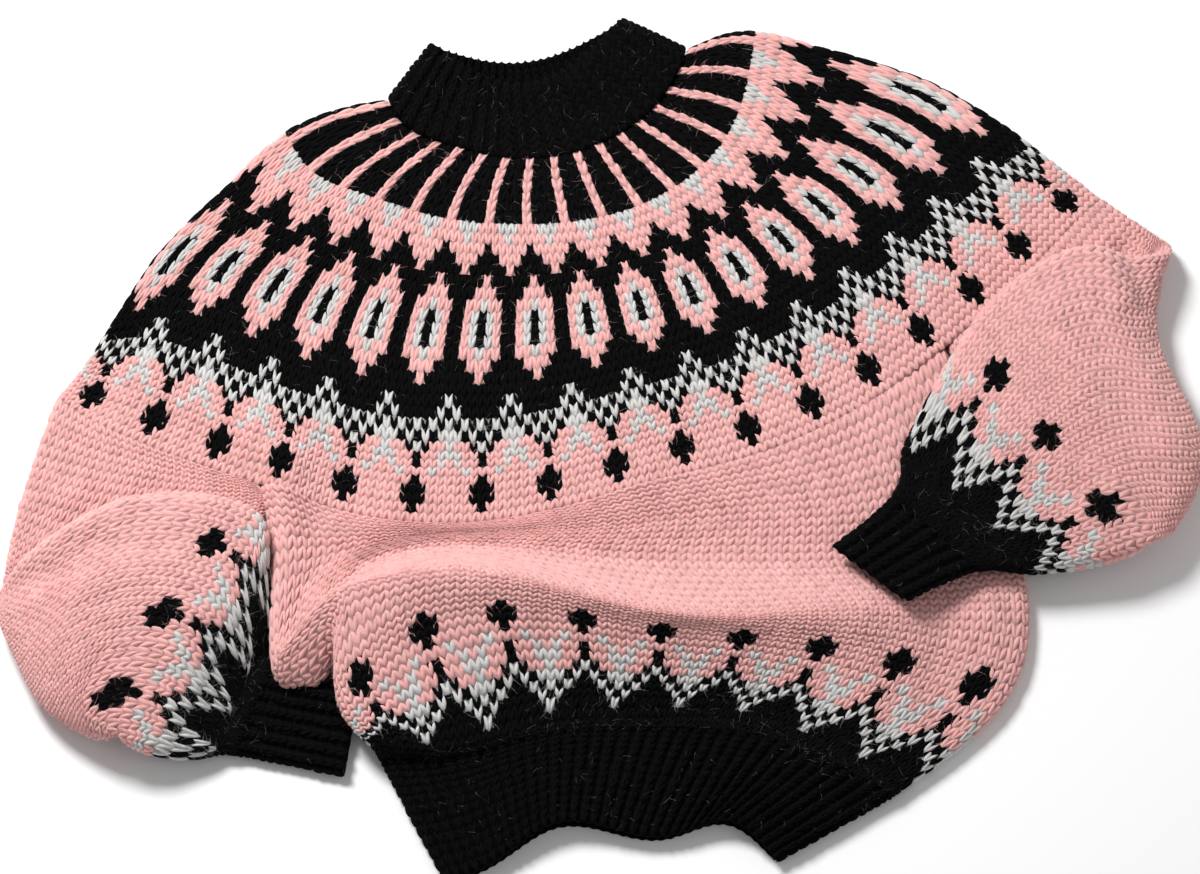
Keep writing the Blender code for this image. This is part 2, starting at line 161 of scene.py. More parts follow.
# Body, a row for each section below the yoke and a column for each station from left to right.
BODY_STATIONS = (0.0, 1 / 6, 2 / 6, 3 / 6, 4 / 6, 5 / 6, 1.0)
BODY_SECTIONS = {
    "upper": {
        "x": (-238, -157, -72, 16, 103, 190, 283),
        "y": (-97, -79, -73, -66, -55, -45, -14),
        "top": (20, 14, 14, 14, 14, 14, 14),
    },
    "valley": {
        "x": (-234, -163, -70, 20, 110, 202, 301),
        "y": (-179, -98, -88, -98, -100, -96, -84),
        "top": (30, 17, 16, 16, 15, 14, 14),
    },
    "crest": {
        "x": (-212, -122, -35, 50, 135, 220, 309),
        "y": (-140, -117, -127, -146, -143, -134, -126),
        "top": (48, 55, 54, 50, 43, 29, 16),
    },
    "dots": {
        "x": (-184, -130, -51, 36, 126, 209, 293),
        "y": (-211, -161, -149, -160, -167, -177, -199),
        "top": (36, 44, 48, 45, 38, 26, 14),
    },
    "points": {
        "x": (-167, -106, -40, 30, 101, 166, 230),
        "y": (-238, -230, -208, -206, -208, -231, -258),
        "top": (30, 24, 22, 21, 20, 17, 14),
    },
    "rib": {
        "x": (-157, -101, -38, 29, 99, 157, 209),
        "y": (-248, -245, -228, -224, -227, -246, -274),
        "top": (17, 16, 16, 16, 16, 15, 14),
    },
}
BODY_LEFT_TUCK = {"valley": (2, -14), "crest": (20, -66), "dots": (-4, -2)}
BODY_LEFT_LIFT = {"valley": 15, "crest": 17, "dots": 17, "points": 15, "rib": 2}
# At its left end the back is tucked in and lifted, over this share of the width and with the lift
# complete halfway. The rolls of the front fade out at this section.
LIFT_REACH = 0.16
FULLY_LIFTED = 0.5
ROLLS_END = 3
HEM_EDGE = {
    "x": (-110, -73, -35, 4, 47, 89, 126),
    "y": (-338, -322, -297, -298, -304, -293, -322),
    "top": (14, 16, 20, 18, 15, 19, 14),
}

# Sleeves, a row for each section from the armhole to the end of the cuff. Each face has its two
# ends, on the shoulder line and on the underarm line, and a height at each end.
# Columns: section, x, y and z of the front face's shoulder and underarm ends, the same for the
# back face, then dome (rise of the back face), bow (bulge of both faces outward) and wave.
LEFT_SLEEVE = (
    ("upper arm", -420, -42, 14, -256, -82, 14, -420, -42, 0, -256, -82, 0, 0, 2, 0),
    ("elbow", -430, -96, 14, -346, -194, 14, -430, -96, 0, -346, -194, 0, 0, 11, -3),
    ("fold", -426, -114, 15, -342, -224, 15, -438, -120, 17, -351, -239, 18, 4, 20, -4),
    ("turned", -408, -98, 17, -340, -226, 17, -413, -98, 35, -346, -240, 34, 8, 14, -3),
    ("forearm", -343, -56, 17, -338, -236, 17, -343, -54, 37, -338, -244, 35, 12, 6, 0),
    ("dots", -261, -58, 17, -331, -243, 16, -261, -58, 38, -331, -246, 34, 10, 3, 0),
    ("turn", -239, -84, 16, -316, -247, 13, -239, -84, 36, -316, -248, 31, 6, 1, 0),
    ("zigzag", -238, -112, 7, -297, -247, 5, -239, -112, 28, -297, -248, 24, 4, 0, 0),
    ("black", -240, -146, 1, -277, -244, 1, -240, -146, 15, -277, -244, 18, 2, 0, 0),
    ("rib", -236, -172, 0, -259, -243, 0, -236, -172, 14, -259, -243, 14, 1, 0, 0),
    ("end", -172, -186, 0, -183, -259, 0, -172, -186, 14, -183, -259, 14, 0, 0, 0),
)
RIGHT_SLEEVE = (
    ("upper arm", 401, 172, 14, 293, 2, 14, 401, 172, 0, 293, 2, 0, 0, 0, 0),
    ("elbow", 414, 162, 14, 374, -60, 14, 414, 162, 0, 374, -60, 0, 0, 0, -8),
    ("fold", 413, 152, 15, 398, -72, 15, 427, 153, 17, 412, -79, 17, 4, 4, -19),
    ("turned", 396, 140, 16, 391, -84, 16, 400, 138, 34, 402, -92, 33, 8, 5, -16),
    ("forearm", 350, 143, 16, 380, -94, 16, 350, 144, 38, 388, -99, 35, 12, 4, -7),
    ("crook", 299, 112, 16, 371, -99, 16, 299, 113, 38, 375, -103, 37, 12, 3, 0),
    ("dots", 268, 76, 16, 359, -103, 16, 268, 76, 38, 361, -106, 37, 10, 2, 0),
    ("zigzag", 229, 6, 16, 329, -110, 17, 229, 6, 34, 329, -110, 34, 6, 0, 0),
    ("black", 219, -24, 16, 300, -111, 19, 219, -24, 31, 300, -111, 34, 4, 0, 0),
    ("rib", 211, -50, 16, 271, -112, 25, 211, -50, 30, 271, -112, 39, 1, 0, 0),
    ("end", 168, -90, 21, 220, -139, 38, 168, -90, 35, 220, -139, 52, 0, 0, 0),
)

# Soft rolls of the front, as ridges between two points, left out under the right sleeve
# Columns: x and y of one end, x and y of the other, height and half width.
ROLLS = (
    (-226, -20, -228, -172, 9, 15),
    (-262, 22, -236, -20, 5, 16),
    (-205, 40, -262, -10, 3, 22),
    (-330, 60, -352, 0, 4, 24),
    (-100, 60, -130, -40, 3, 30),
    (20, 70, 25, -30, 3, 34),
    (120, 100, 150, 30, 3, 30),
    (280, 230, 330, 190, 3, 20),
)
ROLL_KEEP_OFF = ((215, -150), (500, 120))

# Soft creases: ridges with a height above 0, troughs with one below it. Side 1 is the upper side,
# -1 the under side.
# Columns for each piece: side, x and y of one end, x and y of the other, height, half width.
CREASES = {
    "left_sleeve": (
        (1, -395, -70, -330, -48, -2.2, 11),
        (1, -432, -126, -376, -110, -3.0, 11),
        (1, -412, -98, -344, -62, 2.6, 13),
        (1, -340, -60, -276, -66, 2.4, 13),
        (1, -392, -170, -352, -226, 1.8, 15),
        (1, -330, -96, -292, -150, 2.0, 17),
        (1, -352, -140, -318, -196, -2.6, 13),
        (1, -376, -92, -322, -96, -2.8, 12),
        (1, -300, -88, -262, -96, -1.6, 10),
        (-1, -400, -130, -350, -190, -1.5, 16),
    ),
    "right_sleeve": (
        (1, 386, 150, 401, 98, -4.5, 8),
        (1, 366, 142, 382, 98, 3.0, 10),
        (1, 404, 146, 414, 112, 2.0, 8),
        (1, 352, 72, 394, 4, -3.0, 17),
        (1, 330, 92, 352, 30, 2.0, 18),
        (1, 400, 40, 412, -20, 1.8, 14),
        (1, 300, 40, 352, -20, -1.4, 16),
        (1, 372, -50, 340, -88, 1.8, 13),
        (-1, 400, 60, 380, 0, -1.5, 16),
    ),
    "body": (
        (1, -196, -92, -120, -96, -1.8, 13),
        (1, -150, -128, -112, -196, -2.0, 13),
        (1, -104, -122, -84, -186, 1.6, 12),
        (1, -36, -136, -42, -196, -1.8, 13),
        (1, 46, -150, 40, -200, 1.5, 14),
        (1, 112, -146, 122, -208, -1.8, 14),
        (1, 188, -152, 178, -232, 1.8, 15),
        (1, 250, -128, 236, -214, -2.2, 15),
        (1, 282, -120, 276, -180, 1.6, 12),
        (1, 70, -74, 190, -84, -1.5, 16),
        (1, -60, -84, 40, -78, 1.3, 14),
        (-1, -60, -120, 60, -150, -1.5, 20),
        (-1, 150, -60, 230, -160, -1.5, 20),
    ),
    "yoke": (
        (1, -246, 10, -214, -44, 2.0, 12),
        (1, -284, 8, -262, -34, -1.8, 12),
        (1, -340, 96, -376, 34, -1.6, 16),
        (1, -200, 120, -222, 40, -1.6, 18),
        (1, -64, 110, -76, 0, -1.6, 17),
        (1, 70, 130, 92, 10, -1.8, 18),
        (1, 176, 150, 232, 60, 1.8, 18),
        (1, 250, 210, 306, 130, -1.8, 17),
        (1, 226, 268, 300, 236, 1.6, 14),
        (-1, -220, 120, -120, 30, -1.5, 22),
        (-1, 120, 180, 220, 80, -1.5, 22),
    ),
    "collar": (
        (1, -112, 276, -84, 256, -1.2, 9),
        (1, -20, 252, 4, 276, -1.2, 9),
    ),
    "hem_rib": (
        (1, -118, -262, -92, -318, -1.5, 12),
        (1, 62, -236, 70, -292, -1.5, 12),
    ),
}
# Places where the cloth gives a little to one side
# Columns for each piece: x, y and z of the place, the move there in x, y and z, and its reach.
PULLS = {
    "left_sleeve": (
        (-238, -150, 14, 4.5, 0, 0, 30),
        (-438, -118, 16, 4, 0, 0, 14),
        (-430, -150, 18, -4, 0, 0, 24),
    ),
    "body": (
        (-200, -176, 20, -2, -15, -6, 19),
        (-226, -184, 20, 0, -4, -6, 12),
    ),
    "right_sleeve": (
        (424, 152, 18, -2, -2, 0, 9),
        (418, 104, 20, 4, 0, 0, 24),
    ),
}

# Charts of the knitting: each string is one round, from the middle of the motif outward to half
# a motif. P is pink, W white, B black.
# Columns: stitches in a motif, where its middle lies in the repeat, rounds.
CHART = (
    (3, 0.5, ("PB", "PB", "PB")),
    (4, 0.5, ("PBB", "PBB", "PBB")),
    (6, 0.0, ("WWPP", "WPPP", "PPPB", "PPBB", "PBBB")),
    (7, 0.5, ("PBBB", "PPBB", "WPPB", "BWPB", "BWPB", "BWPB", "WPPB", "PPBB", "PBBB")),
    (8, 0.5, ("BBBBB", "BBBBW", "BBBWB", "WBWBW", "BWBWW", "WBPPW", "BPPWW", "BPPWP", "PPWPP")),
    (8, 0.5, ("BPPPP", "BBPPP", "BBPPP", "BPPPP", "PPPPP")),
)
MOTIF = 8
PLAIN_TEXT = "PPPPP"
BLACK_TEXT = "BBBBB"
WOOLS = "PWB"

# Rounds of the yoke chart against places from the neck to the rim
YOKE_ROUNDS = (
    (0, 6, 11, 20, 21, 25.5, 29.5, 32.5, 34),
    (0, 0.185, 0.33, 0.626, 0.657, 0.797, 0.885, 0.962, 1),
)
# The border above hem and cuffs is the end of the chart mirrored, from this round, with one swap.
# It bends away from the shoulder end's section only near the underarm end.
# Columns: round, section at the shoulder end of a face, section at its underarm end.
BORDER_FIRST_ROUND = 20
BORDER_SWAP = {"WBWBW": "BBWBW"}
BORDER_BEND = 3
BODY_BORDER = ((0, 3.72, 3.72), (3, 4, 4), (12.5, 5, 5), (16, 6, 6))
LEFT_BORDER = (
    (0, 5.72, 2.2),
    (3, 5.95, 3.75),
    (6, 6.3, 5.8),
    (8.5, 6.9, 6.5),
    (12.5, 9.1, 9.1),
    (16, 10, 10),
)
RIGHT_BORDER = (
    (0, 6.64, 3.8),
    (3, 7.04, 5.3),
    (6, 7.35, 6.92),
    (8.5, 7.54, 7.5),
    (12.5, 8.3, 8.3),
    (18, 10, 10),
)
# Turns round a tube, and the place of a motif's middle
BODY_TURNS = 18
BODY_BORDER_MIDDLE = 0.5
SLEEVE_TURNS = 8
# Stitches round a sleeve at the armhole, and further down
SLEEVE_STITCHES = 64
CUFF_STITCHES = 56
# Columns: sections, repeats of the yoke at the armhole, border, middle of a motif.
SLEEVES = {
    "left": (LEFT_SLEEVE, (0.0, LEFT_UNDERARM), LEFT_BORDER, 7.13),
    "right": (RIGHT_SLEEVE, (RIGHT_UNDERARM, float(FRONT_REPEATS)), RIGHT_BORDER, 3.80),
}

# Stitches and fibres are left off where the cloth faces down more than this
LEAST_UP_STITCHES = -0.2
LEAST_UP_FIBRES = -0.1
# Unevenness of the stitches: standard deviations of size, place and height
STITCH_SIZE_SPREAD = 0.05
STITCH_SHIFT_SPREAD = 0.035
STITCH_RISE_SPREAD = 0.12

# One leg of a stitch, from the foot in the middle of the V to the tip at its side.
# Columns: share of the way, half width in stitches, height between the backing and the top.
LEG_STATIONS = ((0.2, 0.22, 0.86), (0.5, 0.29, 1.0), (0.8, 0.24, 0.84))
LEG_FOOT = (0.03, -0.66)
LEG_FOOT_HEIGHT = 0.1
LEG_TIP = (0.46, 0.62)
LEG_ACROSS = ((-1.0, 0.0), (-0.42, 1.0), (0.42, 1.0), (1.0, 0.0))

# Fibres standing off the wool. Each arches through a share of a half wave. More places are drawn
# than are needed, because some lie on the under side.
FIBRE_LENGTH = (3.0, 9.0)
FIBRE_WIDTH = {"wool": 0.16, "pale": 0.09}
FIBRE_LIFT = (0.2, 1.5)
FIBRE_TAPER = 0.75
FIBRE_CURL_SPREAD = 0.35
FIBRE_ARCH = 0.8
FIBRE_STEPS = 3
FIBRE_SPARE = 3
PALE_SHARE = 0.06
PALE_TONE = 0.55

# The flat cut of each piece: width and length of the cloth round its tube, its area in square
# metres, and what it rests on besides the floor; then how many fibres it has.
PIECES = {
    "yoke": (1.80, 0.29, 0.383, (), 9000),
    "collar": (0.46, 0.085, 0.034, (), 1500),
    "body": (1.06, 0.26, 0.239, (), 12000),
    "hem_rib": (0.78, 0.09, 0.060, (), 1500),
    "left_sleeve": (0.44, 0.36, 0.123, ("left_cuff",), 7000),
    "left_cuff": (0.15, 0.09, 0.0122, (), 300),
    "right_sleeve": (0.46, 0.38, 0.1435, ("yoke", "body"), 7500),
    "right_cuff": (0.145, 0.085, 0.0106, ("body",), 350),
}

COLOURS = {
    "P": (0.82, 0.435, 0.415),
    "W": (0.62, 0.605, 0.59),
    "B": (0.003, 0.003, 0.0034),
}
# Painted shade: the backing cloth is darker than the stitches by these tones, standing in for the shade
# in the gaps between the legs
BACKING_SHADE_TONES = {"P": 0.84, "W": 0.7, "B": 0.6}
FIBRE_TONES = {"P": 1.1, "W": 1.0, "B": 4.0}
# Sockets of the wool's shader: those that differ between the wools, then those that don't.
# Subsurface stands for light that passes into the fluff.
FINISH_OF_WOOL = {
    "Specular IOR Level": {"P": 0.15, "W": 0.15, "B": 0.06},
    "Sheen Weight": {"P": 0.3, "W": 0.3, "B": 0.0},
    "Subsurface Weight": {"P": 0.35, "W": 0.35, "B": 0.0},
}
FINISH = {
    "Roughness": 0.95,
    "Sheen Roughness": 0.5,
    "Subsurface Scale": 0.0025,
    "Subsurface Radius": (1.0, 0.6, 0.55),
}
# Uneven dye: noise that darkens and lightens the colour between two of its values
DYE_NOISE = {"Scale": 95, "Detail": 6, "Roughness": 0.7}
DYE_RAMP = (0.3, 0.72)
DYE_TONES = (0.86, 1.12)
# Fine fibres in relief, and stitches in relief on the backing with the slant of a leg
FUZZ_NOISE = {"Scale": 900, "Detail": 4, "Distortion": 1.5}
FUZZ_RELIEF = {"Strength": 0.6, "Distance": 0.0006}
KNIT_RELIEF = {"Strength": 0.9, "Distance": 0.0018}
KNIT_SLANT = 1.2
SEED = 11

# Studio, in metres and watts. Columns of the lights: name, place, size and power.
LIGHTS = (
    ("key", (-1.0, 1.15, 1.9), 0.8, 68),
    ("fill", (1.8, -1.2, 2.2), 2.4, 10),
)
SKY = {"Color": (1, 1, 1, 1), "Strength": 0.3}
FLOOR_HALF = 6.0
FLOOR_FINISH = {"Base Color": (0.96, 0.96, 0.96, 1), "Roughness": 0.9}


def spline(knots, values, places):
    """Natural cubic spline through rows of values."""
    knots = np.asarray(knots, float)
    values = np.asarray(values, float)
    count = len(knots)
    step = np.diff(knots)
    shape = (-1,) + (1,) * (values.ndim - 1)
    slope = np.diff(values, axis=0) / step.reshape(shape)
    system = np.eye(count)
    target = np.zeros_like(values)
    for i in range(1, count - 1):
        system[i, i - 1 : i + 2] = step[i - 1], 2 * (step[i - 1] + step[i]), step[i]
        target[i] = 6 * (slope[i] - slope[i - 1])
    bend = np.linalg.solve(system, target.reshape(count, -1)).reshape(values.shape)
    places = np.clip(places, knots[0], knots[-1])
    at = np.clip(np.searchsorted(knots, places, side="right") - 1, 0, count - 2)
    left = (knots[at + 1] - places).reshape(shape)
    right = (places - knots[at]).reshape(shape)
    width = step[at].reshape(shape)
    return (
        bend[at] * left**3 / (6 * width)
        + bend[at + 1] * right**3 / (6 * width)
        + (values[at] / width - bend[at] * width / 6) * left
        + (values[at + 1] / width - bend[at + 1] * width / 6) * right
    )


def unit(vectors):
    return vectors / np.maximum(np.linalg.norm(vectors, axis=-1, keepdims=True), 1e-9)


def distance_to_line(x, y, from_x, from_y, to_x, to_y):
    """Plan distance of each point from the straight line between two ends."""
    along_x, along_y = to_x - from_x, to_y - from_y
    share = ((x - from_x) * along_x + (y - from_y) * along_y) / (along_x**2 + along_y**2)
    inside = np.clip(share, 0, 1)
    return np.hypot(x - from_x - inside * along_x, y - from_y - inside * along_y)


def roll_height(x, y):
    """Height that the soft rolls add to the front at each plan point."""
    total = np.zeros(np.shape(x))
    for *line, height, half_width in ROLLS:
        away = distance_to_line(x, y, *line)
        total += height * np.exp(-((away / half_width) ** 2))
    (low_x, low_y), (high_x, high_y) = ROLL_KEEP_OFF
    covered = (x > low_x) & (x < high_x) & (y > low_y) & (y < high_y)
    return np.where(covered, 0, total)


def yoke_faces(ring_places, repeats):
    """Front and back faces of the yoke, as rings of points from the left fold to the right."""
    places, repeats = np.asarray(ring_places), np.asarray(repeats)
    table = np.array(YOKE_RAYS, float)
    points = table[:, 1:].reshape(len(table), len(YOKE_RINGS), 2)
    rays = spline(table[:, 0], points, repeats)
    plan = spline(YOKE_RINGS, np.swapaxes(rays, 0, 1), places)
    near_teeth, near_middle = YOKE_RINGS[1:3]
    shoulder = np.sin(np.pi * np.clip(places / near_teeth, 0, 1))
    beyond = np.sin(np.pi * np.clip((places - near_middle) / (1 - near_middle), 0, 1))
    for at, *bow in SHOULDER_BOWS:
        near = np.exp(-(((repeats - at) / SHOULDER_BOW_REACH) ** 2))
        plan += np.multiply.outer(np.outer(shoulder, near), bow[:2])
        plan += np.multiply.outer(np.outer(beyond, near), bow[2:])
    near_neck = np.clip(1 - places / near_teeth, 0, 1)[:, None]
    middle = np.sin(np.pi * (repeats / FRONT_REPEATS))[None, :]
    top = FLAT + NECK_SWELL * near_neck**2 * middle
    top = top + roll_height(plan[..., 0], plan[..., 1]) * np.sqrt(np.maximum(middle, 0))
    front = np.dstack([plan, top])
    back = np.dstack([plan, np.zeros_like(top)])
    back[..., 1] += BACK_NECK_RISE * near_neck**BACK_NECK_CURVE * middle
    return front, back


def collar_faces():
    """Front and back faces of the neck rib, from the yoke to its top edge."""
    share = np.linspace(0, 1, ACROSS)
    seam_front, seam_back = yoke_faces([0.0], share * FRONT_REPEATS)
    left, right = np.array((COLLAR_LEFT_TOP, COLLAR_RIGHT_TOP), float)
    line = left + share[:, None] * (right - left)
    sag = np.sin(np.pi * share)
    faces = []
    for seam, drop, height in (
        (seam_front[0], COLLAR_FRONT_SAG, 2 * COLLAR_WALL + GAP),
        (seam_back[0], COLLAR_BACK_SAG, 0),
    ):
        top = line - np.outer(sag, (0, drop))
        away = unit(top - seam[:, :2])
        start = seam[:, :2] + COLLAR_SEAM * away
        rings = [start + place * (top - start) for place in PLACES]
        faces.append(np.dstack([np.array(rings), np.full((len(rings), ACROSS), float(height))]))
    return faces


def body_faces(rows, first, last):
    """Faces between two of the body's sections, counted from the yoke."""
    share = np.linspace(0, 1, ACROSS)
    repeats = np.linspace(LEFT_UNDERARM + UNDERARM_GAP, RIGHT_UNDERARM - UNDERARM_GAP, ACROSS)
    front, back = ([rim[0] + np.array((0, -SEAM, 0))] for rim in yoke_faces([1.0], repeats))
    for name, row in rows.items():
        stations = np.array([row["x"], row["y"], row["top"]], float).T
        face = spline(BODY_STATIONS, stations, share)
        near_left = np.clip(1 - share / LIFT_REACH, 0, 1)[:, None]
        tuck = np.array(BODY_LEFT_TUCK.get(name, (0, 0)) + (0,), float)
        under = face + near_left**2 * tuck
        lifted = np.clip(near_left[:, 0] / FULLY_LIFTED, 0, 1)
        under[:, 2] = BODY_LEFT_LIFT.get(name, 0) * lifted
        front.append(face)
        back.append(under)
    places = np.linspace(0, 1, len(front))
    at = places[first] + PLACES * (places[last] - places[first])
    front = spline(places, np.array(front), at)
    back = spline(places, np.array(back), at)
    rolls = roll_height(front[..., 0], front[..., 1])
    front[..., 2] += rolls * np.sqrt(np.clip(1 - at / places[ROLLS_END], 0, 1))[:, None]
    back[..., 2] = np.maximum(back[..., 2], 0)
    front[..., 2] = np.maximum(front[..., 2], back[..., 2] + FLAT)
    return front, back


def sleeve_faces(rows, repeats, first, last):
    """Faces of a sleeve between two of its sections. The first end of each is on the left."""
    share = np.linspace(0, 1, ACROSS)
    along_rim = repeats[0] + share * (repeats[1] - repeats[0])
    rim_front, rim_back = yoke_faces([1.0], along_rim)
    inner_front, _ = yoke_faces([RIM_INSET], along_rim)
    away = unit(rim_front[0] - inner_front[0]) * SEAM
    away[:, 2] = 0
    front = [rim_front[0] + away]
    back = [rim_back[0] + away]
    on_right = repeats[1] == FRONT_REPEATS
    for row in rows:
        values = np.array(row[1:], float)
        ends = values[:12].reshape(4, 3)
        dome, bow, wave = values[12:]
        arch = np.sin(np.pi * share)
        swing = np.sin(2 * np.pi * share) * (-1 if on_right else 1)
        for faces, pair in ((front, ends[:2]), (back, ends[2:])):
            first_end, last_end = pair[::-1] if on_right else pair
            line = first_end + share[:, None] * (last_end - first_end)
            run = unit(last_end[:2] - first_end[:2])
            line[:, :2] += np.outer(bow * arch + wave * swing, (run[1], -run[0]))
            if faces is back:
                line[:, 2] += dome * arch
            faces.append(line)
    places = np.linspace(0, 1, len(front))
    at = places[first] + PLACES * (places[last] - places[first])
    front, back = spline(places, np.array(front), at), spline(places, np.array(back), at)
    front[..., 2] = np.maximum(front[..., 2], 0)
    back[..., 2] = np.maximum(back[..., 2], 0)
    return front, back


def run_along(points):
    """Distance along a line at each of its points."""
    return np.concatenate([[0], np.cumsum(np.linalg.norm(np.diff(points, axis=0), axis=1))])


def at_places(points, run, places):
    """The line's points at some distances along a run."""
    return np.column_stack([np.interp(places, run, points[:, i]) for i in range(3)])


def half_rounds(front, back, wall, turned_over):
    """Outer and inner loop of one section, each as its front half and its back half.

    Of the two layers one has the given wall and the other takes the rest of the depth: the back
    one, or the front one where the tube is turned over, as the sleeves are.
    """
    middle = (front + back) / 2
    run = run_along(middle)
    left_radius = np.linalg.norm(front[0] - back[0]) / 2
    right_radius = np.linalg.norm(front[-1] - back[-1]) / 2
    places = np.linspace(left_radius, run[-1] - right_radius, 2 * ACROSS)
    front_in, back_in = (at_places(face, run, places) for face in (front, back))
    through = unit(front_in - back_in) if turned_over else np.array([[0.0, 0.0, 1.0]])
    depth = ((front_in - back_in) * through).sum(axis=1, keepdims=True)
    rest = np.maximum(depth - wall - GAP, THINNEST_LAYER)
    front_wall, back_wall = (rest, wall) if turned_over else (wall, rest)
    inner_front, inner_back = front_in - front_wall * through, back_in + back_wall * through
    quarter = np.linspace(0, np.pi / 2, EDGE_STEPS)[:-1, None]

    def edge(face, other, end, angles):
        centre = (face[end] + other[end]) / 2
        half = (face[end] - other[end]) / 2
        out = unit(middle[end] - (front_in[end] + back_in[end]) / 2) * np.linalg.norm(half)
        return centre + half * np.sin(angles) + out * np.cos(angles)

    loops = []
    for face, other in ((front_in, back_in), (inner_front, inner_back)):
        left, right = (face, other, 0), (face, other, -1)
        upper = np.vstack([edge(*left, quarter), face, edge(*right, quarter[::-1])])
        lower = np.vstack([edge(*right, -quarter), other[::-1], edge(*left, -quarter[::-1])])
        loops.append((upper, lower))
    return loops


def evenly(points, count):
    """The line sampled at even steps, without its last point."""
    run = run_along(points)
    return at_places(points, run, np.arange(count) / count * run[-1])


def creased(piece, points, normals):
    """The points of a skin with the soft creases and the small moves of its piece."""
    x, y = points[..., 0], points[..., 1]
    height = np.zeros(x.shape)
    for side, *line, rise, half_width in CREASES.get(piece, ()):
        away = distance_to_line(x, y, *line)
        facing = np.clip(side * normals[..., 2], 0, 1)
        height += rise * facing * np.exp(-((away / half_width) ** 2))
    moved = points + normals * height[..., None]
    for *values, reach in PULLS.get(piece, ()):
        place, move = np.array(values, float).reshape(2, 3)
        away = np.linalg.norm(points - place, axis=-1, keepdims=True)
        moved = moved + move * np.exp(-((away / reach) ** 2))
    moved[..., 2] = np.maximum(moved[..., 2], 0)
    return moved


class Skin:
    """One face of a tube as a fine grid over stations along it and turns round it."""

    def __init__(self, piece, points, turns, ribs=False, inward=False):
        self.turns = turns
        self.ribs = ribs
        self.points = points
        self.normals = self.facing(inward)
        self.points = creased(piece, self.points, self.normals) - MIDDLE
        self.normals = self.facing(inward)

    def facing(self, inward):
        """Normals of the grid, pointing away from the middle of the tube unless inward."""
        around = np.roll(self.points, -1, axis=1) - np.roll(self.points, 1, axis=1)
        along = np.gradient(self.points, axis=0)
        normals = unit(np.cross(around, along))
        away = self.points - self.points.mean(axis=1, keepdims=True)
        outward = (normals * away).sum(axis=-1).mean()
        return -normals if (outward < 0) != inward else normals

    def sample(self, station, turn, grid):
        stations, columns = grid.shape[:2]
        row = station * (stations - 1)
        column = np.mod(turn / self.turns, 1) * columns
        low = np.clip(np.floor(row).astype(int), 0, stations - 2)
        left = column.astype(int) % columns
        right = (left + 1) % columns
        down = (row - low)[..., None]
        over = (column - np.floor(column))[..., None]
        return (
            grid[low, left] * (1 - down) * (1 - over)
            + grid[low + 1, left] * down * (1 - over)
            + grid[low, right] * (1 - down) * over
            + grid[low + 1, right] * down * over
        )

    def place(self, station, turn, height):
        """Points at the stations and turns, raised by height off the skin."""
        normal = unit(self.sample(station, turn, self.normals))
        if self.ribs:
            height = height - RIB_DEPTH * (1 - np.cos(2 * np.pi * turn)) / 2
        return self.sample(station, turn, self.points) + normal * np.asarray(height)[..., None]


def skins_of(piece, front, back, turns, walls=(WALL,) * STATIONS, turned_over=False, ribs=False):
    """Outer and inner skin of a tube."""
    outer, inner = [], []
    for front_row, back_row, wall in zip(front, back, walls):
        loops = half_rounds(front_row, back_row, wall, turned_over)
        for rings, (upper, lower) in zip((outer, inner), loops):
            ring = np.vstack([evenly(upper, HALF_ROUND), evenly(lower, HALF_ROUND)])
            ring[:, 2] = np.maximum(ring[:, 2], 0)
            rings.append(ring)
    skin = Skin(piece, np.array(outer), turns, ribs)
    return skin, Skin(piece + "_lining", np.array(inner), turns, ribs, inward=True)


Round = namedtuple("Round", "stitches motif middle text")
Wool = namedtuple("Wool", "raised ground fibres")


class Rounds:
    """The rounds of knitting on a tube: their charts, and the stations of their edges.

    A station is stated at both ends of a face, because a border may bend across it. The underarm
    end is the last of a face, or the first one where underarm_first is set.
    """

    def __init__(self, charts, shoulder_edges, underarm_edges, turns, underarm_first=False):
        self.charts = charts
        self.shoulder_edges = self.longer(shoulder_edges)
        self.underarm_edges = self.longer(underarm_edges)
        self.turns = turns
        self.underarm_first = underarm_first

    @staticmethod
    def longer(edges):
        """The edges with one more round before the first and after the last."""
        return np.concatenate([[2 * edges[0] - edges[1]], edges, [2 * edges[-1] - edges[-2]]])

    def station(self, rounds, turn):
        places = np.arange(len(self.shoulder_edges)) - 1
        shoulder = np.interp(rounds, places, self.shoulder_edges)
        underarm = np.interp(rounds, places, self.underarm_edges)
        half = np.mod(turn / self.turns, 1) * 2
        share = np.where(half < 1, half, 2 - half)
        if self.underarm_first:
            share = 1 - share
        return shoulder + share**BORDER_BEND * (underarm - shoulder)


def yoke_charts():
    """Every round of the yoke from the neck to the rim."""
    return [
        Round(2 * FRONT_REPEATS * motif, motif, middle, text)
        for motif, middle, texts in CHART
        for text in texts
    ]


def run_length(skin, first, last, share):
    """Length along the skin between two stations, at a share of the way round."""
    turn = np.full(LENGTH_STEPS, share * skin.turns)
    stations = np.linspace(first, last, LENGTH_STEPS)
    points = skin.place(stations, turn, np.zeros(LENGTH_STEPS))
    return np.linalg.norm(np.diff(points, axis=0), axis=1).sum()


